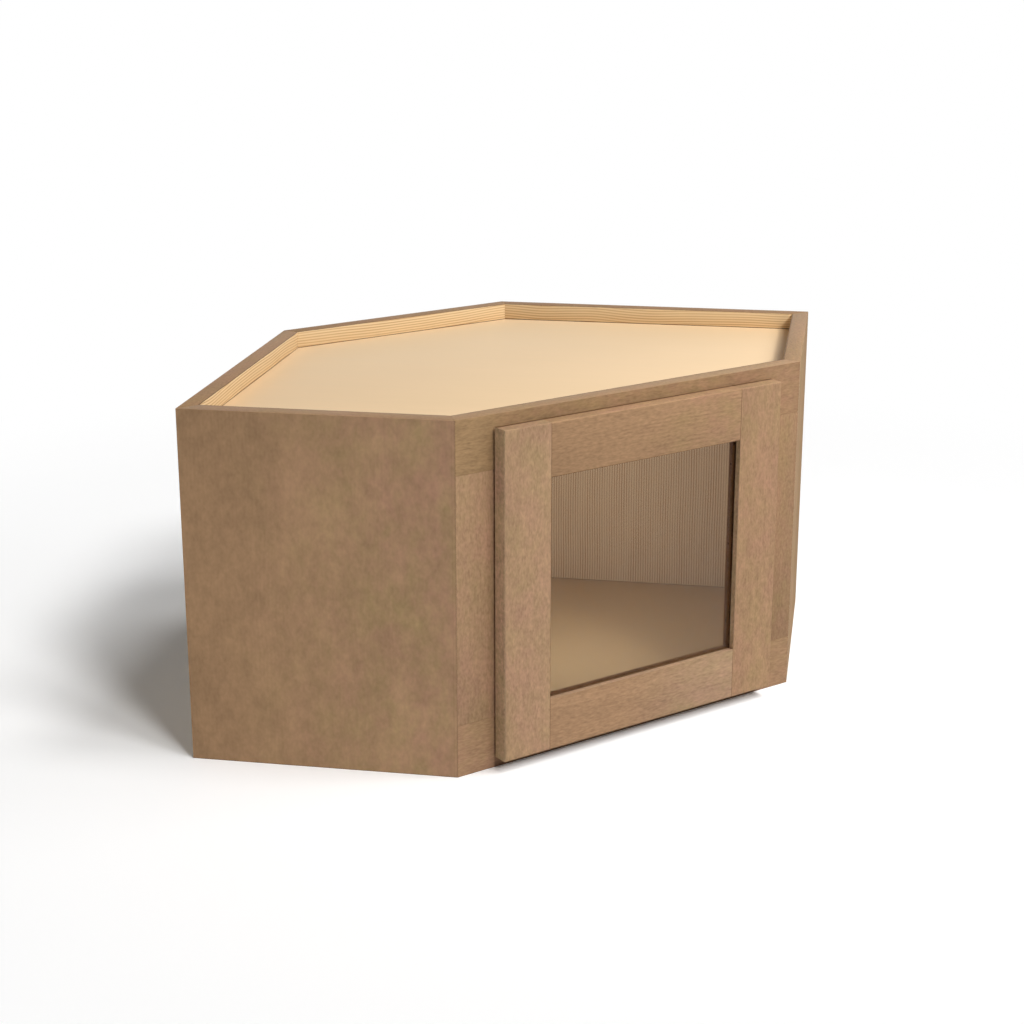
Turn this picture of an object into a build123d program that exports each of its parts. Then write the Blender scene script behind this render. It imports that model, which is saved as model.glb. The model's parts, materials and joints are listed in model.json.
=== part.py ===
"""A diagonal corner wall cabinet with one glazed door, in millimetres.

The origin is under the middle of the plan, with the underside at z = 0. The room's walls are at -X and +Y,
and the door stands on the diagonal between +X and -Y. Its concealed hinges turn it about one vertical line.
"""

from build123d import *
from math import radians, tan
import os

os.makedirs("parts", exist_ok=True)

INCH = 25.4

# --- Carcass ---
wall_reach = 24 * INCH  # how far the cabinet runs along each wall
cabinet_height = 15 * INCH
side_depth = 11.25 * INCH  # how far each side panel stands out from its wall
corner_clip = 8.75 * INCH  # what the back corner board cuts off each wall face
wall_thickness = 0.75 * INCH  # sides, backs and face frame, which meet in mitres
top_thickness = 0.75 * INCH
top_recess = 0.75 * INCH  # from the rim down to the top panel
bottom_thickness = 0.75 * INCH
housing_depth = 0.25 * INCH  # how deep the panels are let into the boards round them
housing_gap = 0.5
hanging_rail_height = 3 * INCH

# --- Face frame ---
frame_rail_height = 2.25 * INCH
frame_tenon_length = 0.5 * INCH
frame_tenon_thickness = 0.25 * INCH
frame_tenon_shoulder = 0.25 * INCH

# --- Door ---
door_side_reveal = 1.797 * INCH  # the frame left in view at each side of the door
door_end_reveal = 0.5 * INCH  # and above and below it
door_thickness = 0.75 * INCH
door_gap = INCH / 16  # between the shut door and the face frame
door_overlay = 0.5 * INCH  # how far the door laps over the frame's stiles
door_stile_width = 2.25 * INCH
door_rail_width = 2.25 * INCH
door_edge_radius = 1.5
door_tenon_length = 1 * INCH
door_tenon_thickness = 0.25 * INCH
door_tenon_shoulder = 0.5 * INCH
tenon_clearance = 0.1  # round every tenon
tenon_end_gap = 1.0

# --- Glazing ---
rabbet_width = 0.375 * INCH
rabbet_depth = 0.5 * INCH
glass_thickness = 0.125 * INCH
glass_play = 1.5  # free space round the pane in its rabbet
bead_clearance = 0.1
bead_edge_radius = 3.0
brads_per_bead = 3
brad_end_distance = 30.0
brad_width = 1.2
brad_length = 0.75 * INCH
brad_head_width = 2.0
brad_head_height = 0.6
brad_clearance = 0.05
brad_end_gap = 0.5

# --- Hinges ---
hinge_end_distance = 3.5 * INCH  # from the door's ends to the hinges
pin_edge_distance = 6.5  # from the door's edge in to the pin
pin_depth = 10.5  # from the door's back in to the pin
pin_radius = 1.0
pin_length = 14.0
pin_seat_clearance = 0.02
pin_running_clearance = 0.05
pin_end_gap = 0.2
eye_radius = 1.8
arm_width = 8.0
arm_thickness = 1.5
arm_bend_radius = 2.0  # of the strip's middle line
neck_reach = 12.4  # from the pin to the neck's near side, past the sweep of the door's edge
neck_setback = 2.0  # from the frame's front back to the strip's return
arm_plate_height = 36.0
arm_plate_margin = 1.0  # left free at the back of the frame's edge
arm_plate_corner = 3.0
arm_screw_spacing = 24.0
cup_radius = 17.5
cup_edge_distance = 3.0  # wood left between the door's edge and the cup
cup_clearance = 0.1
cup_floor = 0.8
cup_floor_gap = 0.4  # between the arm's eye and the floor of the pocket
flange_thickness = 0.6
flange_lip = 0.4
ear_radius = 6.0
ear_offset = 9.5  # of the screws from the cup's middle, away from the door's edge
ear_spacing = 45.0
pocket_side_gap = 0.3
pocket_end_gap = 0.4
pocket_reach = 1.0  # past the neck's far side

# --- Screws and bumpers ---
screw_radius = 1.75
screw_clearance = 0.05
screw_point = 3.0
screw_head_radius = 3.4
screw_head_height = 1.8
metal_hole_radius = 2.1  # under the screws' heads
cup_screw_length = 12.0
arm_screw_length = 16.0
screw_end_gap = 1.0
bumper_radius = 4.5
bumper_edge_distance = 0.25 * INCH
bumper_end_distance = 0.75 * INCH
bumper_dome = 0.6
bumper_gap = 0.3

# --- Worked out from the sizes above ---
top_panel_base = cabinet_height - top_recess - top_thickness
hanging_rail_base = cabinet_height - hanging_rail_height
frame_opening_top = cabinet_height - frame_rail_height
frame_stile_width = door_side_reveal + door_overlay
mitre_slip = tan(radians(22.5))  # how far a mitre at a blunt corner runs on, for each unit that it runs in


def ring(inset):
    """The plan's six corners, moved in by inset, anticlockwise from the left side panel's wall end."""
    half = wall_reach / 2
    near = half - inset
    slip = inset * mitre_slip
    return {
        "left_end": (-near, -near),
        "face_left": (side_depth - half - slip, -near),
        "face_right": (near, half - side_depth + slip),
        "right_end": (near, near),
        "clip_right": (corner_clip - half + slip, near),
        "clip_left": (-near, half - corner_clip - slip),
    }


# The face frame's front: x runs along it from the left, y is up, and z points out of the cabinet.
face = Plane(origin=ring(0)["face_left"], x_dir=(1, 1, 0), z_dir=(1, -1, 0))
face_width = face.to_local_coords(Vector(*ring(0)["face_right"])).X
# The same from above: x runs along the frame's front, and y into the cabinet.
face_plan = Plane(origin=face.origin, x_dir=face.x_dir, z_dir=face.y_dir)
across = Axis(face.origin, face.x_dir)
outward = Axis(face.origin, face.z_dir)

door_left = door_side_reveal
door_right = face_width - door_side_reveal
door_width = door_right - door_left
door_base = door_end_reveal
door_top = cabinet_height - door_end_reveal
door_height = door_top - door_base
door_back = face.offset(door_gap)
opening_width = door_width - 2 * door_stile_width
opening_height = door_height - 2 * door_rail_width
opening_centre = (face_width / 2, cabinet_height / 2)
bead_depth = rabbet_depth - glass_thickness

pin_across = door_left + pin_edge_distance
pin_stand = door_gap + pin_depth  # from the frame's front out to the pin
cup_across = door_left + cup_edge_distance + cup_radius
cup_depth = pin_depth + eye_radius + cup_floor_gap + cup_floor
hinge_heights = {"lower": door_base + hinge_end_distance, "upper": door_top - hinge_end_distance}
arm_plate_depth = wall_thickness - neck_setback - arm_plate_margin
# The left stile's edge: x runs into the cabinet, y is up, and z points across the opening.
stile_edge = Plane(
    origin=face.from_local_coords((frame_stile_width, 0, 0)),
    x_dir=-face.z_dir,
    z_dir=face.x_dir,
)


def outline_area(plane, points):
    """A sketch of a closed outline."""
    with BuildSketch(plane) as area:
        with BuildLine():
            Polyline(*points, close=True)
        make_face()
    return area.sketch


def plan_area(points, height):
    """A level sketch of a closed outline."""
    return outline_area(Plane.XY.offset(height), points)


def rectangle_area(plane, centre, width, height):
    """A rectangle on the face, or on a plane parallel to it."""
    with BuildSketch(plane) as area:
        with Locations(centre):
            Rectangle(width, height)
    return area.sketch


def box_corners(width, height):
    """The corners of a rectangle round the middle of the opening, anticlockwise from the lower left."""
    x, y = opening_centre
    return [
        (x - width / 2, y - height / 2),
        (x + width / 2, y - height / 2),
        (x + width / 2, y + height / 2),
        (x - width / 2, y + height / 2),
    ]


def spread(middle, spacing, count=2):
    """Evenly spaced values round a middle one."""
    return [middle + (index - (count - 1) / 2) * spacing for index in range(count)]


def wood_screw(length):
    """A pan-headed screw that points down its own z axis, with the underside of its head at z = 0."""
    with BuildPart() as screw:
        with BuildSketch(Plane.XZ):
            with BuildLine():
                Polyline(
                    (0, screw_head_height),
                    (screw_head_radius, screw_head_height),
                    (screw_head_radius, 0),
                    (screw_radius, 0),
                    (screw_radius, screw_point - length),
                    (0, -length),
                    close=True,
                )
            make_face()
        revolve(axis=Axis.Z)
    return screw.part


def screw_hole(metal, length):
    """The hole down from z = 0 for such a screw, whose head stands on metal of this thickness."""
    depth = length - metal + screw_end_gap
    return Cylinder(screw_radius + screw_clearance, depth, align=(Align.CENTER, Align.CENTER, Align.MAX))


def brad(clearance, end_gap):
    """A square brad that points down its own z axis from the top of its head at z = 0, or the hole for it."""
    head = brad_head_width + 2 * clearance
    shank = brad_width + 2 * clearance
    with BuildPart() as nail:
        Box(head, head, brad_head_height, align=(Align.CENTER, Align.CENTER, Align.MAX))
        Box(shank, shank, brad_length + end_gap, align=(Align.CENTER, Align.CENTER, Align.MAX))
    return nail.part


def keep(piece, name):
    """Label a finished piece and write it."""
    piece.part.label = name
    export_step(piece.part, f"parts/{name}.step")


# --- Carcass boards: the panels' housings are cut in every board that they reach ---
housing_outline = ring(wall_thickness - housing_depth).values()
bottom_housing = plan_area(housing_outline, 0)
top_housing = plan_area(housing_outline, top_panel_base)

# The stiles' tenons and the rails' mortises are blocks that run past both rails' inner edges.
tenon_start = wall_thickness * mitre_slip + frame_tenon_shoulder
tenon_finish = frame_stile_width - frame_tenon_shoulder
tenon_middle = (tenon_start + tenon_finish) / 2


def frame_tenons(clearance, end_gap):
    """The blocks of both stiles' tenons, or of their mortises."""
    base = frame_rail_height - frame_tenon_length - end_gap
    top = frame_opening_top + frame_tenon_length + end_gap
    with BuildPart() as tenons:
        with BuildSketch(face_plan.offset(base)):
            with Locations(*((x, wall_thickness / 2) for x in (tenon_middle, face_width - tenon_middle))):
                Rectangle(tenon_finish - tenon_start + 2 * clearance, frame_tenon_thickness + 2 * clearance)
        extrude(amount=top - base)
    return tenons.part


mortise_blocks = frame_tenons(tenon_clearance, tenon_end_gap)
tenon_blocks = frame_tenons(0, 0)

ring_boards = {
    "side_panel_left": ("left_end", "face_left", 0, cabinet_height),
    "frame_rail_bottom": ("face_left", "face_right", 0, frame_rail_height),
    "frame_rail_top": ("face_left", "face_right", frame_opening_top, cabinet_height),
    "side_panel_right": ("face_right", "right_end", 0, cabinet_height),
    "back_panel_right": ("right_end", "clip_right", 0, hanging_rail_base),
    "hanging_rail_right": ("right_end", "clip_right", hanging_rail_base, cabinet_height),
    "back_panel_corner": ("clip_right", "clip_left", 0, hanging_rail_base),
    "hanging_rail_corner": ("clip_right", "clip_left", hanging_rail_base, cabinet_height),
    "back_panel_left": ("clip_left", "left_end", 0, hanging_rail_base),
    "hanging_rail_left": ("clip_left", "left_end", hanging_rail_base, cabinet_height),
}
outer = ring(0)
inner = ring(wall_thickness)
for name, (start, finish, base, top) in ring_boards.items():
    outline = (outer[start], outer[finish], inner[finish], inner[start])
    with BuildPart() as board:
        extrude(plan_area(outline, base), amount=top - base)
        extrude(bottom_housing, amount=bottom_thickness, mode=Mode.SUBTRACT)
        extrude(top_housing, amount=top_thickness, mode=Mode.SUBTRACT)
        if start == "face_left":
            add(mortise_blocks, mode=Mode.SUBTRACT)
    keep(board, name)

panel_outline = ring(wall_thickness - housing_depth + housing_gap).values()
for name, base, thickness in (
    ("bottom_panel", 0, bottom_thickness),
    ("top_panel", top_panel_base, top_thickness),
):
    with BuildPart() as panel:
        extrude(plan_area(panel_outline, base), amount=thickness)
    keep(panel, name)

# --- Face frame stiles, between the rails, with the mitre to the side panel ---
arm_plate_middle = neck_setback + arm_plate_depth / 2
arm_screw_places = [
    stile_edge.from_local_coords((arm_plate_middle, height, 0))
    for middle in hinge_heights.values()
    for height in spread(middle, arm_screw_spacing)
]
arm_screw_hole = screw_hole(arm_thickness, arm_screw_length)
for name, corner, along in (
    ("frame_stile_left", "face_left", face.x_dir),
    ("frame_stile_right", "face_right", -face.x_dir),
):
    outer_corner = Vector(*outer[corner])
    opening_edge = outer_corner + frame_stile_width * along
    outline = (outer_corner, opening_edge, opening_edge - wall_thickness * face.z_dir, inner[corner])
    with BuildPart() as stile:
        extrude(plan_area(outline, frame_rail_height), amount=frame_opening_top - frame_rail_height)
        # Of the two stiles' tenons, only this stile's own are kept.
        add([tenon for tenon in tenon_blocks.solids() if tenon.distance_to(outer_corner) < frame_stile_width])
        if corner == "face_left":
            with Locations(*(Plane(place, z_dir=face.x_dir) for place in arm_screw_places)):
                add(arm_screw_hole, mode=Mode.SUBTRACT)
    keep(stile, name)

# --- Door frame: the stiles run the full height, and the rails are tenoned between them ---
tenon_back = door_back.offset((door_thickness - door_tenon_thickness) / 2)
tenon_width = door_rail_width - 2 * door_tenon_shoulder
rail_heights = {"bottom": door_base + door_rail_width / 2, "top": door_top - door_rail_width / 2}
rabbet_area = rectangle_area(
    door_back, opening_centre, opening_width + 2 * rabbet_width, opening_height + 2 * rabbet_width
)
with BuildSketch(tenon_back.offset(-tenon_clearance)) as mortises:
    with Locations(*((face_width / 2, height) for height in rail_heights.values())):
        Rectangle(opening_width + 2 * (door_tenon_length + tenon_end_gap), tenon_width + 2 * tenon_clearance)

# Each bead's brads start at the edge of the opening, halfway up the bead, and point away from the opening.
side_signs = {"bottom": (0, -1), "right": (1, 0), "top": (0, 1), "left": (-1, 0)}
brad_planes = {}
for side, (x_sign, y_sign) in side_signs.items():
    span = opening_height if x_sign else opening_width
    steps = spread(0, (span - 2 * brad_end_distance) / (brads_per_bead - 1), brads_per_bead)
    brad_planes[side] = [
        Plane(
            door_back.from_local_coords(
                (
                    opening_centre[0] + x_sign * opening_width / 2 + abs(y_sign) * step,
                    opening_centre[1] + y_sign * opening_height / 2 + abs(x_sign) * step,
                    bead_depth / 2,
                )
            ),
            z_dir=-x_sign * face.x_dir - y_sign * face.y_dir,
        )
        for step in steps
    ]
brad_hole = brad(brad_clearance, brad_end_gap)

cup_screw_points = [
    (cup_across + ear_offset, height)
    for middle in hinge_heights.values()
    for height in spread(middle, ear_spacing)
]
cup_screw_planes = [
    Plane(door_back.from_local_coords(point), z_dir=-face.z_dir)
    for point in cup_screw_points
]
cup_screw_hole = screw_hole(flange_thickness, cup_screw_length)
cup_middles = [(cup_across, height) for height in hinge_heights.values()]

for name, x, side in (
    ("door_stile_hinge", door_left + door_stile_width / 2, "left"),
    ("door_stile_latch", door_right - door_stile_width / 2, "right"),
):
    stile_area = rectangle_area(door_back, (x, opening_centre[1]), door_stile_width, door_height)
    # The edge beside the opening stays sharp.
    eased = slice(0, -1) if side == "left" else slice(1, None)
    with BuildPart() as stile:
        extrude(stile_area, amount=door_thickness)
        broad_faces = stile.faces().sort_by(outward)
        fillet([broad_faces[index].edges().sort_by(across)[eased] for index in (0, -1)], door_edge_radius)
        extrude(rabbet_area, amount=rabbet_depth, mode=Mode.SUBTRACT)
        extrude(mortises.sketch, amount=door_tenon_thickness + 2 * tenon_clearance, mode=Mode.SUBTRACT)
        with Locations(*brad_planes[side]):
            add(brad_hole, mode=Mode.SUBTRACT)
        if side == "left":
            with BuildSketch(door_back):
                with Locations(*cup_middles):
                    Circle(cup_radius)
            extrude(amount=cup_depth + cup_clearance, mode=Mode.SUBTRACT)
            with Locations(*cup_screw_planes):
                add(cup_screw_hole, mode=Mode.SUBTRACT)
    keep(stile, name)

for side, height in rail_heights.items():
    middle = (face_width / 2, height)
    rail_area = rectangle_area(door_back, middle, opening_width, door_rail_width)
    tenon_area = rectangle_area(tenon_back, middle, opening_width + 2 * door_tenon_length, tenon_width)
    outer_edge = -1 if side == "top" else 0
    with BuildPart() as rail:
        extrude(rail_area, amount=door_thickness)
        broad_faces = rail.faces().sort_by(outward)
        outer_edges = [broad_faces[index].edges().sort_by(Axis.Z)[outer_edge] for index in (0, -1)]
        fillet(outer_edges, door_edge_radius)
        extrude(rabbet_area, amount=rabbet_depth, mode=Mode.SUBTRACT)
        extrude(tenon_area, amount=door_tenon_thickness)
        with Locations(*brad_planes[side]):
            add(brad_hole, mode=Mode.SUBTRACT)
    keep(rail, f"door_rail_{side}")

# --- Glazing: the pane lies against the lip, with a mitred bead behind each of its edges ---
pane_margin = 2 * (rabbet_width - glass_play)
with BuildPart() as glass_pane:
    with BuildSketch(door_back.offset(bead_depth)):
        with Locations(opening_centre):
            Rectangle(opening_width + pane_margin, opening_height + pane_margin)
    extrude(amount=glass_thickness)
keep(glass_pane, "glass_pane")

bead_margin = 2 * (rabbet_width - bead_clearance)
outer_corners = box_corners(opening_width + bead_margin, opening_height + bead_margin)
inner_corners = box_corners(opening_width, opening_height)
opening_middle = door_back.from_local_coords(opening_centre)
for first, side in enumerate(side_signs):
    second = (first + 1) % len(side_signs)
    bead_outline = (outer_corners[first], outer_corners[second], inner_corners[second], inner_corners[first])
    with BuildPart() as bead:
        extrude(outline_area(door_back, bead_outline), amount=bead_depth)
        back_edges = bead.faces().sort_by(outward)[0].edges()
        fillet(back_edges.sort_by_distance(opening_middle)[0], bead_edge_radius)
        with Locations(*brad_planes[side]):
            add(brad_hole, mode=Mode.SUBTRACT)
    keep(bead, f"glass_bead_{side}")

bead_brad = brad(0, 0)
with BuildPart() as bead_brads:
    with Locations(*(plane for planes in brad_planes.values() for plane in planes)):
        add(bead_brad)
keep(bead_brads, "bead_brads")

# --- Hinges: a pin across the cup's pocket carries the eye of a gooseneck arm fixed to the frame's edge ---
neck_middle = neck_reach + arm_thickness / 2
return_middle = pin_stand + neck_setback + arm_thickness / 2
plate_middle = frame_stile_width - pin_across + arm_thickness / 2
plate_end = pin_stand + wall_thickness - arm_plate_margin
pocket_start = pin_across - eye_radius - pocket_end_gap
pocket_end = pin_across + neck_reach + arm_thickness + pocket_reach
pocket_width = pocket_end - pocket_start
flange_face = door_back.offset(-flange_thickness)

for name, height in hinge_heights.items():
    pin_middle = face.from_local_coords((pin_across, height, pin_stand))
    ears = [(cup_across + ear_offset, spot) for spot in spread(height, ear_spacing)]

    with BuildPart() as cup:
        with BuildSketch(door_back):
            with Locations((cup_across, height)):
                Circle(cup_radius - cup_clearance)
        extrude(amount=cup_depth)
        with BuildSketch(door_back):
            with Locations((cup_across, height)):
                Circle(cup_radius + flange_lip)
            with Locations(*ears):
                Circle(ear_radius)
            make_hull()
            with Locations(*ears):
                Circle(metal_hole_radius, mode=Mode.SUBTRACT)
        extrude(amount=-flange_thickness)
        with BuildSketch(flange_face):
            with Locations((pocket_start + pocket_width / 2, height)):
                Rectangle(pocket_width, arm_width + 2 * pocket_side_gap)
        extrude(amount=flange_thickness + cup_depth - cup_floor, mode=Mode.SUBTRACT)
        with Locations(pin_middle):
            Cylinder(pin_radius + pin_seat_clearance, pin_length + 2 * pin_end_gap, mode=Mode.SUBTRACT)
    keep(cup, f"hinge_cup_{name}")

    with BuildPart() as arm:
        with BuildSketch(Plane(pin_middle, x_dir=face.x_dir, z_dir=face.y_dir).offset(-arm_width / 2)):
            with BuildLine():
                FilletPolyline(
                    (0, 0),
                    (neck_middle, 0),
                    (neck_middle, return_middle),
                    (plate_middle, return_middle),
                    (plate_middle, plate_end),
                    radius=arm_bend_radius,
                )
            trace(line_width=arm_thickness)
            Circle(eye_radius)
            Circle(pin_radius + pin_running_clearance, mode=Mode.SUBTRACT)
        extrude(amount=arm_width)
        with BuildSketch(stile_edge):
            with Locations((arm_plate_middle, height)):
                RectangleRounded(arm_plate_depth, arm_plate_height, arm_plate_corner)
            with Locations(*((arm_plate_middle, spot) for spot in spread(height, arm_screw_spacing))):
                Circle(metal_hole_radius, mode=Mode.SUBTRACT)
        extrude(amount=arm_thickness)
    keep(arm, f"hinge_arm_{name}")

pin_middles = [face.from_local_coords((pin_across, height, pin_stand)) for height in hinge_heights.values()]
with BuildPart() as hinge_pins:
    with Locations(*pin_middles):
        Cylinder(pin_radius, pin_length)
keep(hinge_pins, "hinge_pins")

cup_screw = wood_screw(cup_screw_length)
with BuildPart() as hinge_cup_screws:
    with Locations(*(plane.offset(flange_thickness) for plane in cup_screw_planes)):
        add(cup_screw)
keep(hinge_cup_screws, "hinge_cup_screws")

arm_screw = wood_screw(arm_screw_length)
with BuildPart() as hinge_arm_screws:
    with Locations(*(Plane(place, z_dir=face.x_dir).offset(arm_thickness) for place in arm_screw_places)):
        add(arm_screw)
keep(hinge_arm_screws, "hinge_arm_screws")

# --- Soft pads that meet the face frame when the door shuts ---
bumper_across = door_right - bumper_edge_distance
bumper_heights = (door_base + bumper_end_distance, door_top - bumper_end_distance)
with BuildPart() as door_bumpers:
    with BuildSketch(door_back):
        with Locations(*((bumper_across, height) for height in bumper_heights)):
            Circle(bumper_radius)
    extrude(amount=bumper_gap - door_gap)
    chamfer(door_bumpers.faces().sort_by(outward)[:2].edges(), bumper_dome)
keep(door_bumpers, "door_bumpers")
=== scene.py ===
"""The looks of a diagonal corner wall cabinet: stained maple outside, natural wood inside, tinted glass.

Everything is in metres, in the CAD model's frame. The boards, hinges, brads and pads are copies of their CAD
nodes with eased edges, painted face by face. The screws are made here, with a dome and a cross recess, and the
glass pane is the CAD node itself.
"""

import json
from math import cos, pi, radians, sin

import bmesh
import bpy
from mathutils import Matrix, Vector

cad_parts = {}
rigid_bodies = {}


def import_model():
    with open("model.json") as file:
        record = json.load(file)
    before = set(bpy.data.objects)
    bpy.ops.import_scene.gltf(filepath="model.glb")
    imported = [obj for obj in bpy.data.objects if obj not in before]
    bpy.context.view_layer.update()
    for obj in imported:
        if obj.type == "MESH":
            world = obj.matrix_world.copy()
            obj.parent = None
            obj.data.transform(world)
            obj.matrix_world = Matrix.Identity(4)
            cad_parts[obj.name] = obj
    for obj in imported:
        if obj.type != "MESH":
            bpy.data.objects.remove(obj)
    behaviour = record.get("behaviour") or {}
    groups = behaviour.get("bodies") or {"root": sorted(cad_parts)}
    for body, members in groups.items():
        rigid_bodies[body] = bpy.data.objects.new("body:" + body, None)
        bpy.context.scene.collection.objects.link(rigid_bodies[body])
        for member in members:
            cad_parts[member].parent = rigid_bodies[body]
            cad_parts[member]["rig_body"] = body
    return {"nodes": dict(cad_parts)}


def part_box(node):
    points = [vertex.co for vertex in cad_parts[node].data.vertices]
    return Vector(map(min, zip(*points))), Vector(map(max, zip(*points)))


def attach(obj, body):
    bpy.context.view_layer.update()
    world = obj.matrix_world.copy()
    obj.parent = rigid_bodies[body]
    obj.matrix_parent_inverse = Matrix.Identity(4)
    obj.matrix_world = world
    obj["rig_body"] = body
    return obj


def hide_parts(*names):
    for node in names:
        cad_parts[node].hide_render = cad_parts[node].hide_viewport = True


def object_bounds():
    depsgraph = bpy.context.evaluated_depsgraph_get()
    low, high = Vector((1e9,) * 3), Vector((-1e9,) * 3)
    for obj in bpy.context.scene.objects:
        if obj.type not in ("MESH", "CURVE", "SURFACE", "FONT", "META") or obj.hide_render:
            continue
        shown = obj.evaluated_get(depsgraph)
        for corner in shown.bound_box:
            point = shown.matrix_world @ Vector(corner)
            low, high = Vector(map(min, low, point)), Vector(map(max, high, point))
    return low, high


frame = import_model()
cad_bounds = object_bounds()
nodes = frame["nodes"]

# --- Directions ---
X = Vector((1, 0, 0))
Y = Vector((0, 1, 0))
Z = Vector((0, 0, 1))
ALONG_FACE = Vector((1, 1, 0)).normalized()
OUT_OF_FACE = Vector((1, -1, 0)).normalized()


def reach(node, axis):
    """How far a CAD node reaches along an axis: its least and greatest distance."""
    distances = [vertex.co.dot(axis) for vertex in nodes[node].data.vertices]
    return min(distances), max(distances)


# --- Colours ---
def srgb(red, green, blue):
    """A colour as a screen shows it, from 0 to 255, as the linear colour that a shader takes."""
    levels = [value / 255 for value in (red, green, blue)]
    return (*(level / 12.92 if level <= 0.04045 else ((level + 0.055) / 1.055) ** 2.4 for level in levels), 1)


def scaled(colour, red, green=None, blue=None):
    """A linear colour times one level, or times a level for each channel."""
    return (colour[0] * red, colour[1] * (green or red), colour[2] * (blue or red), 1)


# the colour of the thin dark lines: joints, and painted shade along contacts, inside corners and the gap behind the
# door
JOINT_AND_SHADE_COLOUR = srgb(90, 62, 40)
STAIN = srgb(182, 148, 116)
# the side panels' stain darkened toward the wall, as painted shade
STAIN_SHADED_TOWARD_WALL = srgb(170, 136, 103)
RIM_STAIN = srgb(155, 122, 90)
FRAME_RIM = srgb(169, 136, 102)
OLIVE_STAIN = srgb(164, 133, 97)
BEAD_STAIN = srgb(182, 146, 116)
WALL = srgb(246, 227, 195)
WALL_LINE = srgb(196, 161, 127)
LIP = srgb(228, 201, 158)
LIP_LINE = srgb(184, 143, 99)
OUTSIDE_BACK = srgb(228, 198, 154)
TOP = srgb(231, 201, 161)
# the top panel's veneer painted lighter toward the back: painted light
TOP_LIT_BEHIND = srgb(243, 216, 178)
INNER_FLOOR = srgb(210, 184, 143)
UNDERSIDE = srgb(236, 204, 160)
WHITE = (1, 1, 1, 1)
STRIPE_SPACING = 0.00315
WAVE_SPACING = 0.0042
# where the veneer turns to its painted lighter colour at the back
LIT_BEHIND_BLEND = (-0.32, -0.02)  # the distances along OUT_OF_FACE between which a veneer changes colour
FINE_LINE = 0.0009  # half the width of most dark lines


# --- Materials ---
class Graph:
    """The node tree of a material or a world, with one short call for each kind of node that it uses."""

    def __init__(self, owner):
        owner.use_nodes = True
        self.owner = owner
        self.tree = owner.node_tree
        self.tree.nodes.clear()

    def feed(self, socket, value):
        if isinstance(value, bpy.types.NodeSocket):
            self.tree.links.new(value, socket)
        else:
            socket.default_value = value

    def add(self, kind, inputs, **settings):
        node = self.tree.nodes.new("ShaderNode" + kind)
        for name, value in settings.items():
            setattr(node, name, value)
        for name, value in inputs.items():
            self.feed(node.inputs[name], value)
        return node

    def math(self, operation, *values, clamp=False):
        return self.add("Math", dict(enumerate(values)), operation=operation, use_clamp=clamp).outputs[0]

    def vector(self, operation, *values):
        return self.add("VectorMath", dict(enumerate(values)), operation=operation).outputs[0]

    def joined(self, x, y, z):
        return self.add("CombineXYZ", {0: x, 1: y, 2: z}).outputs[0]

    def distance_along(self, axis):
        place = self.add("TexCoord", {}).outputs["Object"]
        return self.add("VectorMath", {0: place, 1: axis}, operation="DOT_PRODUCT").outputs["Value"]

    def board_place(self, along, across, seed):
        """The place on a board, in metres: x along the grain, y across it on the surface, z into the board."""
        parts = [self.distance_along(axis) for axis in (along, across, along.cross(across))]
        return self.vector("ADD", self.joined(*parts), Vector((0.731, 1.377, 2.113)) * seed)

    def noise(self, place, stretch, detail=2.0, roughness=0.5):
        """Noise from about -1 to 1, whose cells are one over the stretch long each way."""
        inputs = {"Vector": self.vector("MULTIPLY", place, stretch), "Scale": 1.0}
        texture = self.add("TexNoise", inputs | {"Detail": detail, "Roughness": roughness})
        spread = {"From Min": 0.28, "From Max": 0.72, "To Min": -1.0, "To Max": 1.0}
        return self.add("MapRange", {"Value": texture.outputs[0]} | spread, clamp=False).outputs[0]

    def weighted(self, *terms, start=0.0):
        """The start plus the sum of values times their weights."""
        total = start
        for value, weight in terms:
            total = self.math("MULTIPLY_ADD", value, weight, total)
        return total

    def mix(self, amount, first, second):
        node = self.add("Mix", {0: amount, 6: first, 7: second}, data_type="RGBA")
        node.clamp_factor = True
        return node.outputs[2]

    def shaded(self, colour, level):
        """A colour, or a socket that carries one, times a level."""
        base = colour[:3] if isinstance(colour, tuple) else colour
        return self.vector("MULTIPLY", base, self.joined(level, level, level))

    def smoothstep(self, value, low, high):
        inputs = {"Value": value, "From Min": low, "From Max": high}
        return self.add("MapRange", inputs, interpolation_type="SMOOTHSTEP").outputs[0]

    def joint_and_shade_lines(self, colour, lines):
        """Thin dark lines over a colour, some at joints and some painted shade, each in a plane: its axis, distance,
        half width and strength.
        """
        for axis, distance, half_width, strength in lines:
            away = self.math("ABSOLUTE", self.math("SUBTRACT", self.distance_along(axis), distance))
            near = self.math("SUBTRACT", 1.0, self.smoothstep(away, half_width * 0.4, half_width))
            colour = self.mix(self.math("MULTIPLY", near, strength), colour, JOINT_AND_SHADE_COLOUR)
        return colour

    def finish(self, colour, roughness, height, bump_depth, bump_strength=0.5, **constants):
        bump = self.add("Bump", {"Height": height, "Strength": bump_strength, "Distance": bump_depth})
        inputs = {"Base Color": colour, "Roughness": roughness, "Normal": bump.outputs[0]}
        shader = self.add("BsdfPrincipled", inputs | constants)
        self.add("OutputMaterial", {"Surface": shader.outputs[0]})
        return self.owner


def new_graph(name):
    return Graph(bpy.data.materials.new(name))


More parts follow.
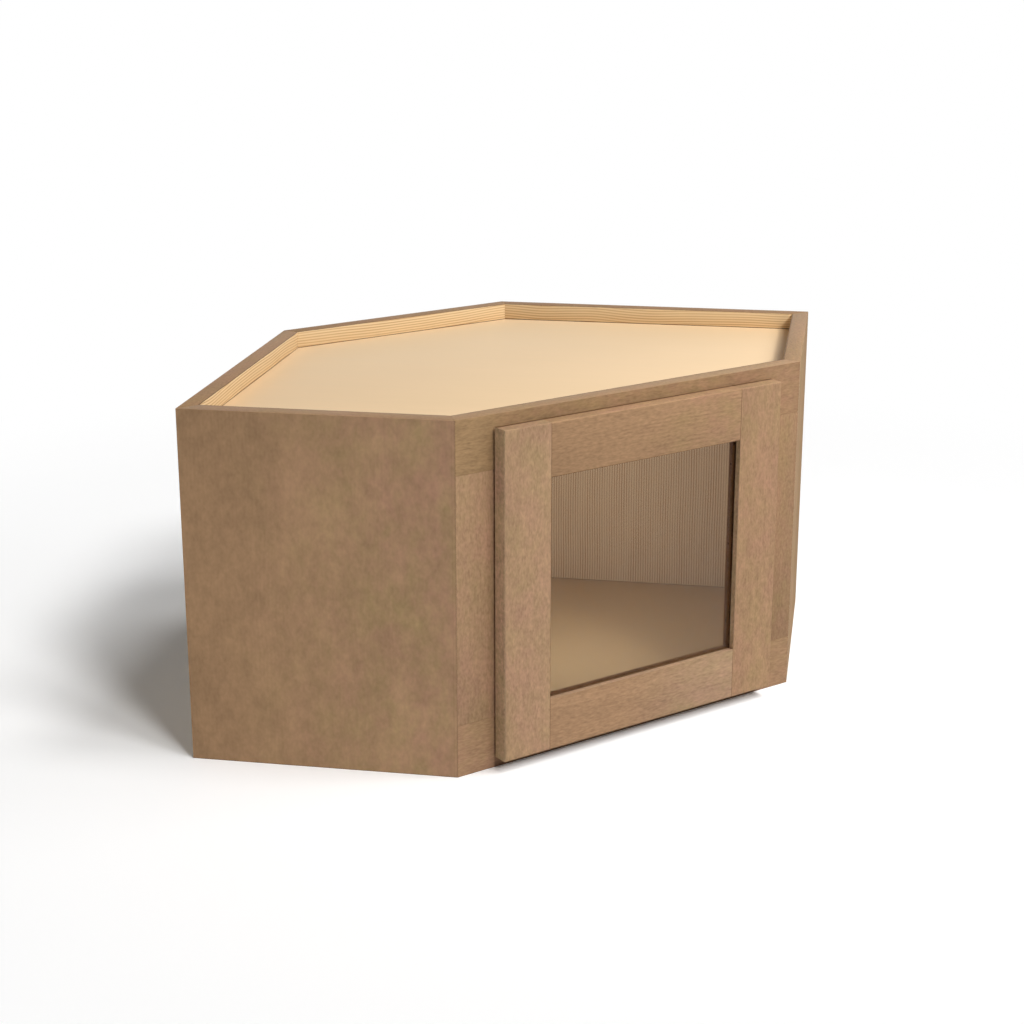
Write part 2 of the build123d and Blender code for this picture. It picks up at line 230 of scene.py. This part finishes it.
def stained_maple(
    name, along, across, seed, colour, clouds=1.0, patches=1.0, flecks=1.0, fleck_length=1.4, fibres=1.0, figure=0.0,
    drawn=1.0, hue=0.8, ior=1.18, joint_and_shade_lines=(), end=None,
):
    """Maple under a brown stain. The stain took unevenly, in clouds and patches, and shows short flecks.

    The fleck length is in fleck widths. Figure is the strength of wavy lines along the grain, and drawn is how
    far the patches are drawn out along it. Hue is how far the colour strays to a warmer and an olive one. An end
    is an axis, the two distances between which the board turns from another colour to its own, and that colour.
    """
    g = new_graph(name)
    place = g.board_place(along, across, seed)
    wander = g.math("MULTIPLY", g.noise(place, (2.5, 11, 11)), 0.006)
    bent = g.vector("ADD", place, g.joined(0.0, wander, 0.0))
    wide_clouds = g.noise(place, (5, 9, 9), detail=1.0)
    small_clouds = g.noise(place, (24 / drawn, 30, 30), detail=1.0, roughness=0.7)
    small_patches = g.noise(place, (84 / drawn, 92, 92), detail=2.0, roughness=0.85)
    fine_flecks = g.noise(bent, (330 / fleck_length, 330, 330), detail=1.0, roughness=0.9)
    long_fibres = g.noise(bent, (12, 420, 420), detail=2.0, roughness=0.6)
    bands = g.noise(bent, (2.4, 60, 60), detail=2.0)
    level = g.weighted(
        (wide_clouds, 0.085 * clouds),
        (small_clouds, 0.055 * clouds),
        (small_patches, 0.100 * patches),
        (fine_flecks, 0.120 * flecks),
        (long_fibres, 0.030 * fibres),
        (bands, 0.025 * fibres),
        start=1.0,
    )
    if figure:
        level = g.math("MULTIPLY_ADD", wavy_lines(g, place), 0.055 * figure, level)
    tint = g.noise(place, (16, 22, 22), detail=3.0, roughness=0.75)
    warm = scaled(colour, 1 + 0.055 * hue, 1 - 0.04 * hue, 1 + 0.03 * hue)
    olive = scaled(colour, 1 - 0.055 * hue, 1 + 0.02 * hue, 1 - 0.13 * hue)
    toned = g.mix(g.math("MULTIPLY_ADD", tint, 0.55, 0.5), olive, warm)
    if end:
        axis, near, far, end_colour = end
        toned = g.mix(g.smoothstep(g.distance_along(axis), near, far), end_colour, toned)
    pores = g.smoothstep(g.noise(bent, (120, 1100, 1100), detail=0.0), 0.6, 1.2)
    coloured = g.mix(g.math("MULTIPLY", pores, 0.2 * flecks), g.shaded(toned, level), scaled(colour, 0.45))
    coloured = g.joint_and_shade_lines(coloured, joint_and_shade_lines)
    roughness = g.weighted((small_clouds, 0.03), (long_fibres, 0.04), start=0.52)
    height = g.weighted((long_fibres, 0.5), (fine_flecks, 0.3), (pores, -0.6))
    return g.finish(coloured, roughness, height, bump_depth=0.00004, IOR=ior)


def wavy_lines(g, place):
    """Soft wavy lines along the grain that come and go, from about -1 to 1."""
    slow = g.noise(place, (5, 12, 12), detail=1.0)
    quick = g.noise(place, (26, 38, 38), detail=1.0)
    across = g.add("SeparateXYZ", {0: place}).outputs[1]
    phase = g.weighted((across, 1 / WAVE_SPACING), (slow, 0.9), (quick, 0.22))
    wave = g.math("SINE", g.math("MULTIPLY", phase, 2 * pi))
    presence = g.smoothstep(g.noise(place, (7, 34, 34), detail=1.0), -0.7, 0.8)
    return g.math("MULTIPLY", wave, presence)


def striped_wood(name, along, across, seed, colour, line_colour, sharpness, sway, joint_and_shade_lines):
    """Clear-coated natural wood, with fine grain lines a set distance apart."""
    g = new_graph(name)
    place = g.board_place(along, across, seed)
    slow = g.noise(place, (7, 5, 5), detail=1.0)
    distance_across = g.add("SeparateXYZ", {0: place}).outputs[1]
    swayed = g.weighted((distance_across, 1 / STRIPE_SPACING), (slow, sway))
    wave = g.math("COSINE", g.math("MULTIPLY", swayed, 2 * pi))
    line = g.math("POWER", g.math("MULTIPLY_ADD", wave, 0.5, 0.5, clamp=True), sharpness)
    strength = g.noise(place, (9, 90, 90), detail=1.0)
    amount = g.math("MULTIPLY", line, g.math("MULTIPLY_ADD", strength, 0.2, 0.8, clamp=True))
    clouds = g.noise(place, (6, 14, 14), detail=3.0)
    fibres = g.noise(place, (12, 700, 700), detail=2.0)
    level = g.weighted((clouds, 0.02), (fibres, 0.01), start=1.0)
    coloured = g.joint_and_shade_lines(g.mix(amount, g.shaded(colour, level), line_colour), joint_and_shade_lines)
    roughness = g.math("MULTIPLY_ADD", fibres, 0.03, 0.52)
    height = g.math("MULTIPLY", line, -1.0)
    return g.finish(coloured, roughness, height, bump_depth=0.00003, IOR=1.3)


def pale_veneer(name, along, across, seed, colour, depth=1.0, lit_behind=None):
    """Smooth clear-coated maple veneer, with hardly any figure. It can be painted lighter toward the back, as painted
    light.
    """
    g = new_graph(name)
    place = g.board_place(along, across, seed)
    clouds = g.noise(place, (3.5, 8, 8), detail=3.0)
    streaks = g.noise(place, (4, 130, 130), detail=3.0)
    fibres = g.noise(place, (16, 800, 800), detail=2.0)
    shade = g.weighted((clouds, 0.010 * depth), (streaks, 0.010 * depth), (fibres, 0.010 * depth))
    level = g.math("ADD", shade, 1.0)
    blue_level = g.math("MULTIPLY_ADD", shade, 1.6, 1.0)
    if lit_behind:
        base = g.mix(g.smoothstep(g.distance_along(OUT_OF_FACE), *LIT_BEHIND_BLEND), lit_behind, colour)
    else:
        base = colour[:3]
    coloured = g.vector("MULTIPLY", base, g.joined(level, level, blue_level))
    roughness = g.math("MULTIPLY_ADD", streaks, 0.03, 0.52)
    return g.finish(coloured, roughness, fibres, bump_depth=0.00003, bump_strength=0.3, IOR=1.3)


def tinted_glass(name, tint):
    """Tinted glass that lamps shine through, with a faint, slightly smeared reflection."""
    g = new_graph(name)
    clear = g.add("BsdfTransparent", {"Color": tint})
    place = g.add("TexCoord", {}).outputs["Object"]
    smear = g.math("MULTIPLY_ADD", g.noise(place, (14, 14, 14)), 0.01, 0.03)
    gloss = g.add("BsdfGlossy", {"Color": WHITE, "Roughness": smear})
    fresnel = g.add("Fresnel", {"IOR": 1.25}).outputs[0]
    shader = g.add("MixShader", {0: fresnel, 1: clear.outputs[0], 2: gloss.outputs[0]})
    g.add("OutputMaterial", {"Surface": shader.outputs[0]})
    return g.owner


def plated_metal(name, colour, roughness, brush_along):
    """Plated steel with fine brush marks and a few duller patches."""
    g = new_graph(name)
    place = g.board_place(brush_along, brush_along.orthogonal().normalized(), 1)
    brushed = g.noise(place, (60, 5200, 5200))
    dull = g.noise(place, (90, 90, 90), detail=3.0)
    level = g.weighted((brushed, 0.03), (dull, 0.03), start=1.0)
    worn = g.weighted((brushed, 0.04), (dull, 0.05), start=roughness)
    coloured = g.shaded(colour, level)
    return g.finish(coloured, worn, brushed, bump_depth=0.00002, bump_strength=0.3, Metallic=1.0)


def soft_pad(name, colour):
    """A frosted, slightly see-through polyurethane pad."""
    g = new_graph(name)
    place = g.add("TexCoord", {}).outputs["Object"]
    grain = g.noise(place, (1600, 1600, 1600))
    coloured = g.shaded(colour, g.math("MULTIPLY_ADD", grain, 0.03, 1.0))
    roughness = g.math("MULTIPLY_ADD", grain, 0.05, 0.35)
    constants = {"Transmission Weight": 0.35, "IOR": 1.45}
    return g.finish(coloured, roughness, grain, bump_depth=0.00002, **constants)


# --- Shapes ---
EASE = 0.00035  # of the boards' edges
HARDWARE_EASE = 0.00025
SHORTEST_EASED_EDGE = 0.004
SHORTEST_EASED_HARDWARE_EDGE = 0.0003
SAME_PLACE = 1e-6
FACING = 0.6  # a face looks along an axis if its normal has more than this of it


def mesh_object(name, bm):
    mesh = bpy.data.meshes.new(name)
    bm.to_mesh(mesh)
    bm.free()
    piece = bpy.data.objects.new(name, mesh)
    bpy.context.scene.collection.objects.link(piece)
    return piece


def eased_copy(node, ease=EASE, shortest=SHORTEST_EASED_EDGE):
    """A bmesh copy of a CAD node, with its outside edges eased."""
    bm = bmesh.new()
    bm.from_mesh(nodes[node].data)
    bmesh.ops.remove_doubles(bm, verts=bm.verts, dist=SAME_PLACE)
    bmesh.ops.dissolve_limit(bm, angle_limit=radians(0.3), verts=bm.verts, edges=bm.edges)
    sharp = [
        edge
        for edge in bm.edges
        if len(edge.link_faces) == 2
        and edge.calc_length() > shortest
        and edge.calc_face_angle_signed(0) > radians(20)
    ]
    bmesh.ops.bevel(
        bm, geom=sharp, offset=ease, offset_type="OFFSET", segments=2, profile=0.5, affect="EDGES", clamp_overlap=True
    )
    return bm


def stand_in(node, bm, paint):
    """The finished piece that stands for a CAD node. Paint gives the material of a face from its normal."""
    piece = mesh_object("look_" + node, bm)
    slots = {}
    for polygon in piece.data.polygons:
        material = paint(polygon.normal)
        if material.name not in slots:
            slots[material.name] = len(slots)
            piece.data.materials.append(material)
        polygon.material_index = slots[material.name]
        polygon.use_smooth = True
    piece.data.set_sharp_from_angle(angle=radians(30))
    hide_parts(node)
    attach(piece, nodes[node]["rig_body"])


# --- The carcass: stained outside and on the rim, natural inside ---
bottom_panel_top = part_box("bottom_panel")[1].z
top_panel_underside, top_panel_top = (corner.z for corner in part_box("top_panel"))
frame_start, frame_stop = reach("frame_rail_top", ALONG_FACE)
# painted shade: dark lines on the boards' inside faces where the top and bottom panels meet them
panel_corner_shade_lines = [(Z, bottom_panel_top, FINE_LINE, 0.8), (Z, top_panel_underside, FINE_LINE, 0.8)]

# Each board: the way its length runs, the way it faces outward, and its rim's level, or one for each channel.
BOARDS = {
    "side_panel_left": (X, -Y, (1.0,)),
    "side_panel_right": (Y, X, (1.14, 1.2, 1.29)),
    "back_panel_left": (Y, -X, (0.95,)),
    "hanging_rail_left": (Y, -X, (0.95,)),
    "back_panel_corner": (ALONG_FACE, -OUT_OF_FACE, (0.9,)),
    "hanging_rail_corner": (ALONG_FACE, -OUT_OF_FACE, (0.9,)),
    "back_panel_right": (X, Y, (0.9,)),
    "hanging_rail_right": (X, Y, (0.9,)),
}
# painted shade: the right side panel's outside is darker than the left's
SIDE_PANEL_SHADE_LEVELS = {"side_panel_left": (1.0,), "side_panel_right": (0.86, 0.90, 0.90)}
FRONT_STRIP = 0.0035  # from a side panel's front edge back to a faint line


def rim_finish(node, along, across, seed, colour):
    """The stained top edge of a board. A dark line runs along its outer side on a back, and its inner elsewhere."""
    inner, outer = reach(node, across)
    strength = 0.5 if node == "side_panel_right" else 0.85
    line = (across, outer if node.startswith("back") else inner, 2 * FINE_LINE, strength)
    return stained_maple(
        f"rim_of_{node}", along, across, seed, colour, clouds=0.7, patches=0.5, drawn=2.0, hue=0.5, joint_and_shade_lines=[line]
    )


def side_panel_finish(node, length, seed):
    """The stained face of a side panel, with painted shade that darkens it toward the wall."""
    edges = reach(node, length)
    back_edge, front_edge = edges if node == "side_panel_left" else reversed(edges)
    toward_back = 1 if back_edge > front_edge else -1
    lines = [
        # painted shade: a dark line along the bottom edge, where the cabinet stands on the floor
        (Z, 0.0, FINE_LINE, 0.6),
        (length, front_edge, FINE_LINE, 0.3),
        (length, front_edge + toward_back * FRONT_STRIP, 0.0007, 0.08),
    ]
    levels = SIDE_PANEL_SHADE_LEVELS[node]
    return stained_maple(
        f"outside_of_{node}", Z, length, seed, scaled(STAIN, *levels), clouds=0.85, patches=1.15, flecks=0.2,
        fibres=0.25, figure=0.3, drawn=1.25, hue=1.0, ior=1.02, joint_and_shade_lines=lines,
        end=(length, back_edge, front_edge, scaled(STAIN_SHADED_TOWARD_WALL, *levels)),
    )


def carcass_board(node, length, outward, rim_level, seed):
    rim = rim_finish(node, length, outward, seed, scaled(RIM_STAIN, *rim_level))
    if node.startswith("side_panel"):
        outside = side_panel_finish(node, length, seed)
    else:
        outside = pale_veneer(f"outside_of_{node}", length, Z, seed, OUTSIDE_BACK, depth=3.0)
    if node.startswith("hanging_rail"):
        # painted shade along the foot of each lip, where it meets the top panel
        lines = panel_corner_shade_lines + [(Z, top_panel_top, 0.0012, 0.85)]
        inside = striped_wood(f"inside_of_{node}", length, Z, seed, LIP, LIP_LINE, 2.4, 1.1, lines)
    else:
        inside = striped_wood(f"inside_of_{node}", Z, length, seed, WALL, WALL_LINE, 1.4, 0.35, panel_corner_shade_lines)

    def paint(normal):
        if normal.dot(outward) > FACING:
            return outside
        return rim if normal.z > FACING else inside

    stand_in(node, eased_copy(node), paint)


for seed, (node, (length, outward, rim_level)) in enumerate(BOARDS.items(), start=1):
    carcass_board(node, length, outward, rim_level, seed)

top_finish = pale_veneer("top_veneer", X, Y, 31, TOP, lit_behind=TOP_LIT_BEHIND)
floor_finish = pale_veneer("bottom_veneer", X, Y, 32, INNER_FLOOR, depth=1.6)
underside_finish = pale_veneer("underside_veneer", X, Y, 33, UNDERSIDE, depth=2.0)
stand_in("top_panel", eased_copy("top_panel"), lambda normal: top_finish)
bottom_panel = eased_copy("bottom_panel")
stand_in("bottom_panel", bottom_panel, lambda normal: floor_finish if normal.z > 0 else underside_finish)


# --- The face frame and the door's frame ---
def looks_out(normal):
    return abs(normal.dot(OUT_OF_FACE)) > FACING


def grain_of(node):
    """The way along the grain of a frame's piece, and the way across it."""
    return (ALONG_FACE, Z) if "rail" in node or node.endswith(("top", "bottom")) else (Z, ALONG_FACE)


STILE_FIGURE = {
    "clouds": 0.7, "patches": 0.6, "flecks": 1.1, "fleck_length": 1.8, "fibres": 0.8, "figure": 0.2, "drawn": 2.2,
}
RAIL_FIGURE = STILE_FIGURE | {"fleck_length": 2.8, "fibres": 1.4, "figure": 0.5}
TOP_RAIL_FIGURE = RAIL_FIGURE | {"patches": 0.35, "figure": 1.5}

frame_lines = [
    # painted shade: a dark line along the bottom edge, where the cabinet stands on the floor
    (Z, 0.0, FINE_LINE, 0.6),
    (Z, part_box("frame_rail_top")[0].z, 0.0006, 0.1),
    (Z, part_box("frame_rail_bottom")[1].z, 0.0006, 0.1),
    (ALONG_FACE, frame_start, FINE_LINE, 0.25),
    (ALONG_FACE, frame_stop, FINE_LINE, 0.25),
]
olive_end = (ALONG_FACE, frame_start + 0.035, frame_start + 0.085, OLIVE_STAIN)
FRAME_COLOURS = {
    "frame_rail_top": srgb(165, 132, 101),
    "frame_rail_bottom": srgb(164, 132, 102),
    "frame_stile_left": srgb(169, 136, 107),
    "frame_stile_right": srgb(161, 129, 100),
}
for seed, (node, colour) in enumerate(FRAME_COLOURS.items(), start=41):
    grain, across = grain_of(node)
    figure = RAIL_FIGURE if "rail" in node else STILE_FIGURE
    face_finish = stained_maple(
        f"face_of_{node}", grain, across, seed, colour, **figure, joint_and_shade_lines=frame_lines,
        end=olive_end if node == "frame_rail_top" else None,
    )
    edge_finish = stained_maple(f"edges_of_{node}", grain, across, seed, colour, clouds=0.6, patches=0.8)
    rim = rim_finish(node, grain, OUT_OF_FACE, seed, FRAME_RIM)

    def paint(normal):
        if looks_out(normal):
            return face_finish
        return rim if normal.z > FACING else edge_finish

    stand_in(node, eased_copy(node), paint)

opening_start = reach("door_stile_hinge", ALONG_FACE)[1]
opening_stop = reach("door_stile_latch", ALONG_FACE)[0]
opening_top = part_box("door_rail_top")[0].z
door_back = reach("door_stile_hinge", OUT_OF_FACE)[0]
stile_lines = [(ALONG_FACE, opening_start, 0.0007, 0.45), (ALONG_FACE, opening_stop, 0.0007, 0.45)]
rail_lines = stile_lines + [(Z, opening_top, FINE_LINE, 0.6)]
# painted shade: the gap behind the door darkens the back of its top and bottom edges
gap_shade_line = (OUT_OF_FACE, door_back, 0.0065, 1.0)  # darkens the back of the door's top and bottom edges
# Each part of the door's frame: its colour, and that of its hinge end if it differs.
DOOR_COLOURS = {
    "door_stile_hinge": (srgb(175, 142, 112), None),
    "door_stile_latch": (srgb(173, 139, 108), None),
    "door_rail_top": (srgb(174, 139, 106), srgb(174, 138, 104)),
    "door_rail_bottom": (srgb(167, 137, 110), srgb(165, 131, 100)),
}
for seed, (node, (colour, end_colour)) in enumerate(DOOR_COLOURS.items(), start=51):
    grain, across = grain_of(node)
    is_rail = "rail" in node
    figure = TOP_RAIL_FIGURE if node == "door_rail_top" else RAIL_FIGURE if is_rail else STILE_FIGURE
    hinge_end = (ALONG_FACE, opening_start + 0.08, opening_stop - 0.03, end_colour)
    face_finish = stained_maple(
        f"face_of_{node}", grain, across, seed, colour, **figure,
        joint_and_shade_lines=rail_lines if is_rail else stile_lines, end=hinge_end if end_colour else None,
    )
    # painted light: the door's side edges get a lighter copy of its stain
    side_stain_with_painted_light = scaled(colour, 1.35, 1.48, 1.58)
    side_finish = stained_maple(f"painted_lit_sides_of_{node}", Z, OUT_OF_FACE, seed, side_stain_with_painted_light, flecks=1.3)
    end_finish = stained_maple(f"ends_of_{node}", grain, OUT_OF_FACE, seed, colour, joint_and_shade_lines=[gap_shade_line])

    def paint(normal):
        if looks_out(normal):
            return face_finish
        return end_finish if abs(normal.z) > FACING else side_finish

    stand_in(node, eased_copy(node), paint)

# --- Glazing ---
for seed, side in enumerate(("left", "right", "top", "bottom"), start=61):
    node = f"glass_bead_{side}"
    bead_finish = stained_maple(f"stain_of_bead_{side}", *grain_of(node), seed, BEAD_STAIN)
    stand_in(node, eased_copy(node, EASE / 2), lambda normal: bead_finish)

glass = tinted_glass("grey_brown_glass", (0.72, 0.705, 0.68, 1))
nodes["glass_pane"].data.materials.clear()
nodes["glass_pane"].data.materials.append(glass)

# --- Hardware ---
SCREW_SEGMENTS = 32  # two for each point of the cross
SCREW_HEAD_HEIGHT = 0.0018
HEAD_RADIUS = 0.0034
SHANK_RADIUS = 0.00175
POINT_LENGTH = 0.003
RECESS_MOUTH = (0.0018, 0.00045)  # the cross: the length and half the width of its arms
RECESS_BOTTOM = (0.0012, 0.0003)
RECESS_BOTTOM_HEIGHT = 0.0007


def eased_hardware(node, ease=HARDWARE_EASE):
    return eased_copy(node, ease, SHORTEST_EASED_HARDWARE_EDGE)


def islands(node):
    """The separate solids of a CAD node, as lists of points."""
    bm = bmesh.new()
    bm.from_mesh(nodes[node].data)
    bmesh.ops.remove_doubles(bm, verts=bm.verts, dist=SAME_PLACE)
    waiting = set(bm.verts)
    found = []
    while waiting:
        reached = [waiting.pop()]
        points = []
        while reached:
            vertex = reached.pop()
            points.append(vertex.co.copy())
            for edge in vertex.link_edges:
                other = edge.other_vert(vertex)
                if other in waiting:
                    waiting.remove(other)
                    reached.append(other)
        found.append(points)
    bm.free()
    return found


def cross_outline(arm, half_width):
    """The 16 points of a cross, counterclockwise from the end of its first arm."""
    points = []
    for quarter in range(4):
        c, s = cos(quarter * pi / 2), sin(quarter * pi / 2)
        for x, y in ((arm, 0), (arm, half_width), (half_width, half_width), (half_width, arm)):
            points.append((x * c - y * s, x * s + y * c))
    return points


def add_screw(bm, points, outward):
    """A pan-headed screw with a cross recess, in the place of a plain one whose head faces outward."""
    top = max(point.dot(outward) for point in points)
    length = top - min(point.dot(outward) for point in points)
    middle_point = sum(points, Vector()) / len(points)
    across = outward.cross(Z).normalized()
    foot = middle_point - outward * middle_point.dot(outward) + outward * (top - SCREW_HEAD_HEIGHT)

    def ring(outline, height):
        return [bm.verts.new(foot + across * x + Z * y + outward * height) for x, y in outline]

    def circle(radius):
        turns = [2 * pi * step / SCREW_SEGMENTS for step in range(SCREW_SEGMENTS)]
        return [(radius * cos(turn), radius * sin(turn)) for turn in turns]

    shank_end = SCREW_HEAD_HEIGHT - length
    # The radius and the height above the head's foot, from the point to the edge of the recess.
    profile = (
        (0.0002, shank_end),
        (SHANK_RADIUS, shank_end + POINT_LENGTH),
        (SHANK_RADIUS, 0.0),
        (HEAD_RADIUS, 0.0),
        (HEAD_RADIUS, 0.0007),
        (0.0031, 0.0012),
        (0.0024, 0.0016),
    )
    rings = [ring(circle(radius), height) for radius, height in profile]
    bm.faces.new(reversed(rings[0]))
    for lower, upper in zip(rings, rings[1:]):
        for i in range(SCREW_SEGMENTS):
            after = (i + 1) % SCREW_SEGMENTS
            bm.faces.new((lower[i], lower[after], upper[after], upper[i]))
    mouth = ring(cross_outline(*RECESS_MOUTH), SCREW_HEAD_HEIGHT)
    bottom = ring(cross_outline(*RECESS_BOTTOM), RECESS_BOTTOM_HEIGHT)
    for i in range(len(mouth)):
        after = (i + 1) % len(mouth)
        first, second, third = (rings[-1][(2 * i + step) % SCREW_SEGMENTS] for step in range(3))
        bm.faces.new((mouth[i], first, second))
        bm.faces.new((mouth[i], second, mouth[after]))
        bm.faces.new((mouth[after], second, third))
        bm.faces.new((mouth[i], mouth[after], bottom[after], bottom[i]))
    bm.faces.new(bottom)


nickel = plated_metal("nickel_plate", srgb(205, 203, 198), 0.27, Z)
zinc = plated_metal("zinc_plate", srgb(196, 197, 200), 0.33, OUT_OF_FACE)
dark_steel = plated_metal("dark_brad_steel", srgb(92, 74, 60), 0.5, OUT_OF_FACE)
pad = soft_pad("clear_pad", srgb(222, 222, 216))
for node in ("hinge_cup_upper", "hinge_cup_lower", "hinge_arm_upper", "hinge_arm_lower"):
    stand_in(node, eased_hardware(node), lambda normal: nickel)
stand_in("hinge_pins", eased_hardware("hinge_pins", HARDWARE_EASE / 2), lambda normal: zinc)
stand_in("bead_brads", eased_hardware("bead_brads", HARDWARE_EASE / 2), lambda normal: dark_steel)
stand_in("door_bumpers", eased_hardware("door_bumpers"), lambda normal: pad)
for node, outward in (("hinge_cup_screws", -OUT_OF_FACE), ("hinge_arm_screws", ALONG_FACE)):
    bm = bmesh.new()
    for points in islands(node):
        add_screw(bm, points, outward)
    bmesh.ops.recalc_face_normals(bm, faces=bm.faces)
    stand_in(node, bm, lambda normal: zinc)


# --- Floor, light and camera ---
def seen_directly(graph):
    """1 for what the camera, gloss and glass see, and 0 for the light that reaches the object."""
    path = graph.add("LightPath", {})
    either = graph.math("MAXIMUM", path.outputs["Is Camera Ray"], path.outputs["Is Glossy Ray"])
    return graph.math("MAXIMUM", either, path.outputs["Is Transmission Ray"])


FLOOR_SIZE = 24.0
FLOOR_COLOUR = (0.55, 0.55, 0.55, 1)
FLOOR_COLOUR_SEEN = (1.02, 1.02, 1.02, 1)
SHADOW_HAZE = 0.05  # lightens the darkest shadows as the floor is seen
PLAIN_FROM, PLAIN_BEYOND = 0.75, 1.5  # the distance from the cabinet at which the floor turns plain white
bm = bmesh.new()
bmesh.ops.create_grid(bm, x_segments=1, y_segments=1, size=FLOOR_SIZE / 2)
floor = mesh_object("floor", bm)
floor.location.z = cad_bounds[0].z
g = new_graph("pale_floor")
seen = seen_directly(g)
matt = g.add("BsdfDiffuse", {"Color": g.mix(seen, FLOOR_COLOUR, FLOOR_COLOUR_SEEN)})
distance = g.add("VectorMath", {0: g.add("TexCoord", {}).outputs["Object"]}, operation="LENGTH").outputs["Value"]
plain = g.math("MULTIPLY", seen, g.smoothstep(distance, PLAIN_FROM, PLAIN_BEYOND))
haze = g.add("Emission", {"Color": WHITE, "Strength": g.math("MULTIPLY", seen, SHADOW_HAZE)})
hazy = g.add("AddShader", {0: matt.outputs[0], 1: haze.outputs[0]})
white = g.add("Emission", {"Color": WHITE, "Strength": 1.0})
both = g.add("MixShader", {0: plain, 1: hazy.outputs[0], 2: white.outputs[0]})
g.add("OutputMaterial", {"Surface": both.outputs[0]})
floor.data.materials.append(g.owner)

WORLD_LEVEL = 0.08
world = bpy.data.worlds.new("studio")
bpy.context.scene.world = world
g = Graph(world)
strength = g.math("MULTIPLY_ADD", seen_directly(g), 1.0 - WORLD_LEVEL, WORLD_LEVEL)
background = g.add("Background", {"Color": WHITE, "Strength": strength})
g.add("OutputWorld", {"Surface": background.outputs[0]})

middle = (cad_bounds[0] + cad_bounds[1]) / 2


def aimed_lamp(name, kind, place, target, energy, **settings):
    """A lamp that shines from a place toward a target, and that the camera and gloss don't see."""
    light = bpy.data.lights.new(name, kind)
    light.energy = energy
    for setting, value in settings.items():
        setattr(light, setting, value)
    holder = bpy.data.objects.new(name, light)
    holder.location = place
    holder.rotation_euler = (Vector(target) - Vector(place)).to_track_quat("-Z", "Y").to_euler()
    holder.visible_camera = False
    holder.visible_glossy = False
    bpy.context.scene.collection.objects.link(holder)


def soft_sun(name, slope, level, angle):
    """A wide sun whose direction is its slope from upright, and whose level is what it gives a level surface."""
    toward = Vector((*slope, 1.0))
    aimed_lamp(name, "SUN", middle + toward, middle, level * pi * toward.length, angle=radians(angle))


# The key light is a long soft strip, made as three suns side by side.
soft_sun("key_high", slope=(0.47, 0.04), level=0.23, angle=14)
soft_sun("key_middle", slope=(0.72, -0.35), level=0.25, angle=14)
soft_sun("key_low", slope=(0.83, -0.90), level=0.265, angle=12)
soft_sun("fill", slope=(-3.0, -2.0), level=0.03, angle=40)
near_place = middle + 0.95 * Vector((0.95, 0.1, 0.8))
inside_place, inside_target = (0.10, -0.072, 0.25), (-0.09, 0.16, 0.11)
aimed_lamp("near_lamp", "AREA", near_place, middle, energy=2.8, shape="SQUARE", size=0.4)
aimed_lamp("inside_lamp", "AREA", inside_place, inside_target, energy=0.64, shape="SQUARE", size=0.12)

# The camera, fitted to the photograph. The angles are in degrees, and the focal length is in its pixels.
CAMERA_PLACE = (0.3589, -2.1369, 0.8615)
CAMERA_AZIMUTH = 9.939
CAMERA_ELEVATION = 17.062
PHOTO_WIDTH = 1024
FOCAL_PIXELS = 1971.5
camera_data = bpy.data.cameras.new("camera")
camera_data.sensor_width = 36.0
camera_data.lens = FOCAL_PIXELS / PHOTO_WIDTH * camera_data.sensor_width
camera = bpy.data.objects.new("camera", camera_data)
camera.location = CAMERA_PLACE
camera.rotation_euler = (radians(90 - CAMERA_ELEVATION), 0, radians(CAMERA_AZIMUTH))
bpy.context.scene.collection.objects.link(camera)
bpy.context.scene.camera = camera
bpy.context.scene.view_settings.view_transform = "Standard"
